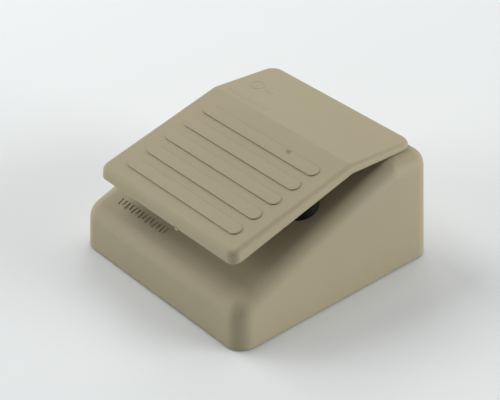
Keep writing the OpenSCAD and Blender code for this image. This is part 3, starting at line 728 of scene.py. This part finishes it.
begin()
bpy.ops.mesh.primitive_circle_add(vertices=12, radius=wire_r * MM, fill_type="NGON",
                                  rotation=(math.pi / 2, 0, 0), location=(coil_r * MM, 0, coil_low * MM))
spring = bpy.context.object
spring.name = "return_coil"
apply_place(spring)
edit(spring)
bpy.ops.mesh.select_all(action="SELECT")
ring_total = int(coil_turns * ring_steps)
for i in range(ring_total):
    climb = coil_height((i + 1) / ring_total) - coil_height(i / ring_total)
    bpy.ops.mesh.extrude_region_move(TRANSFORM_OT_translate={"value": (0, 0, climb * MM)})
    bpy.ops.transform.rotate(value=2 * math.pi / ring_steps, orient_axis="Z", center_override=(0, 0, 0))
bpy.ops.mesh.select_all(action="SELECT")
bpy.ops.mesh.normals_make_consistent(inside=False)
leave()
spring.location = (0, spring_y * MM, 0)
apply_place(spring)
smooth(spring, 50)


def metal(name, dark, light, dull, polished, streak, fine):
    """Bare or plated metal whose tone and polish wander, with fine marks that run along one way."""
    made, surface = new_material(name)
    link = made.node_tree.links.new
    surface.inputs["Metallic"].default_value = 1
    place = node(made, "TexCoord")
    stretch = node(made, "Mapping")
    stretch.inputs["Scale"].default_value = streak
    cloud = node(made, "TexNoise", Scale=110, Detail=5, Roughness=0.6)
    marks = node(made, "TexNoise", Scale=fine, Detail=3)
    tone = node(made, "ValToRGB")
    tone.color_ramp.elements[0].position, tone.color_ramp.elements[1].position = 0.3, 0.7
    tone.color_ramp.elements[0].color, tone.color_ramp.elements[1].color = (*dark, 1), (*light, 1)
    polish = node(made, "MapRange", From_Min=0.3, From_Max=0.7, To_Min=dull, To_Max=polished)
    bump = node(made, "Bump", Strength=0.15, Distance=0.00003)
    link(place.outputs["Object"], cloud.inputs["Vector"])
    link(place.outputs["Object"], stretch.inputs["Vector"])
    link(stretch.outputs["Vector"], marks.inputs["Vector"])
    link(cloud.outputs["Fac"], tone.inputs["Fac"])
    link(marks.outputs["Fac"], polish.inputs["Value"])
    link(marks.outputs["Fac"], bump.inputs["Height"])
    link(tone.outputs["Color"], surface.inputs["Base Color"])
    link(polish.outputs["Result"], surface.inputs["Roughness"])
    link(bump.outputs["Normal"], surface.inputs["Normal"])
    return made


drawn_wire = metal("drawn_wire", (0.33, 0.335, 0.35), (0.46, 0.465, 0.48), 0.42, 0.26, (1, 1, 6), 700)
spring.data.materials.append(drawn_wire)
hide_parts("return_spring")
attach(spring, "base")
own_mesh(spring)

# ---- Bottom plate and its screws ------------------------------------------------------------
# A blanked sheet of zinc-plated steel closes the housing from below. Four thread-forming screws with
# crossed recesses hold it to the corner bosses, and the feet's necks pass through four more holes.


def dress(names, finish, edge=0.0):
    """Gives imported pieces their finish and, where an edge is given in millimetres, breaks sharp edges."""
    for name in names:
        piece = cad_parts[name]
        piece.data.materials.clear()
        piece.data.materials.append(finish)
        if edge:
            broken = piece.modifiers.new("broken_edge", "BEVEL")
            broken.width, broken.segments, broken.limit_method = edge * MM, 2, "ANGLE"
            broken.angle_limit = math.radians(40)
            broken.harden_normals = True


sheet_zinc = metal("sheet_zinc", (0.42, 0.43, 0.44), (0.62, 0.63, 0.63), 0.5, 0.3, (1, 9, 1), 500)
screw_zinc = metal("screw_zinc", (0.5, 0.51, 0.52), (0.68, 0.69, 0.69), 0.38, 0.22, (1, 1, 4), 900)
dress(["bottom_plate"], sheet_zinc, 0.2)
dress(["bottom_plate_screws"], screw_zinc, 0.08)

# ---- Hinge pins and clips -------------------------------------------------------------------
# Each hinge is a headed steel pin pushed outwards through two cheeks of the housing and the lug of
# the treadle between them. A sprung clip of blanked steel snaps into a groove near the pin's end.
pin_steel = metal("pin_steel", (0.4, 0.4, 0.41), (0.56, 0.56, 0.57), 0.36, 0.2, (5, 1, 1), 800)
dress(["hinge_pin_left", "hinge_pin_right"], pin_steel, 0.12)
clip_steel = metal("clip_steel", (0.12, 0.12, 0.13), (0.24, 0.24, 0.25), 0.45, 0.3, (1, 1, 1), 600)
dress(["pin_clip_left", "pin_clip_right"], clip_steel)

# ---- Switch bracket -------------------------------------------------------------------------
# A strip of zinc-plated steel bent square. The switch is bolted to its upright face by two screws
# and nuts, and its flange is screwed up to two bosses that hang from the housing's roof.
dress(["switch_bracket"], sheet_zinc, 0.15)
dress(["bracket_screws", "switch_screws", "switch_nuts"], screw_zinc, 0.08)

# ---- Microswitch ----------------------------------------------------------------------------
# A snap-action switch of the common large kind. A dark phenolic case and cover hold brass terminals
# and a sprung brass contact blade. A nylon button pushes the blade and a steel lever pushes the button.


def moulded_part(name, dark, light, dull, polished, scale, glow=0.0):
    """A dense moulded plastic: clouded tone, a part-polished skin and faint flow marks."""
    made, surface = new_material(name)
    link = made.node_tree.links.new
    place = node(made, "TexCoord")
    cloud = node(made, "TexNoise", Scale=scale, Detail=4, Roughness=0.55, Distortion=0.6)
    tone = node(made, "ValToRGB")
    tone.color_ramp.elements[0].position, tone.color_ramp.elements[1].position = 0.32, 0.68
    tone.color_ramp.elements[0].color, tone.color_ramp.elements[1].color = (*dark, 1), (*light, 1)
    polish = node(made, "MapRange", From_Min=0.3, From_Max=0.7, To_Min=dull, To_Max=polished)
    skin = node(made, "TexNoise", Scale=1800, Detail=2)
    bump = node(made, "Bump", Strength=0.12, Distance=0.00004)
    for texture in (cloud, skin):
        link(place.outputs["Object"], texture.inputs["Vector"])
    link(cloud.outputs["Fac"], tone.inputs["Fac"])
    link(cloud.outputs["Fac"], polish.inputs["Value"])
    link(skin.outputs["Fac"], bump.inputs["Height"])
    link(tone.outputs["Color"], surface.inputs["Base Color"])
    link(polish.outputs["Result"], surface.inputs["Roughness"])
    link(bump.outputs["Normal"], surface.inputs["Normal"])
    surface.inputs["Subsurface Weight"].default_value = glow
    surface.inputs["Subsurface Scale"].default_value = 0.001
    return made


phenolic = moulded_part("phenolic", (0.012, 0.009, 0.007), (0.03, 0.022, 0.016), 0.5, 0.32, 220)
dress(["switch_case", "switch_cover"], phenolic, 0.2)
nylon = moulded_part("natural_nylon", (0.56, 0.53, 0.44), (0.7, 0.67, 0.58), 0.5, 0.34, 90, 0.25)
dress(["switch_button"], nylon)
lever_steel = metal("lever_steel", (0.45, 0.45, 0.46), (0.62, 0.62, 0.63), 0.34, 0.2, (7, 1, 1), 700)
dress(["switch_lever"], lever_steel, 0.06)
dress(["switch_lever_pin"], pin_steel)
brass = metal("contact_brass", (0.5, 0.33, 0.11), (0.72, 0.53, 0.24), 0.4, 0.22, (4, 1, 1), 600)
dress(["contact_blade"], brass)
dress(["terminal_common", "terminal_open", "terminal_closed"], brass, 0.06)

# ---- Cable clamp ----------------------------------------------------------------------------
# A short moulded nylon bar is screwed across the cable path below two bosses just inside the rear
# wall. A rounded notch in it presses the cable up against the bosses' web.
dress(["cable_clamp"], nylon, 0.25)
dress(["cable_clamp_screws"], screw_zinc, 0.08)

# ---- Overall box ----------------------------------------------------------------------------
# The box round every shown piece of the finished switch, the floor left out, in metres.
low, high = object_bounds()
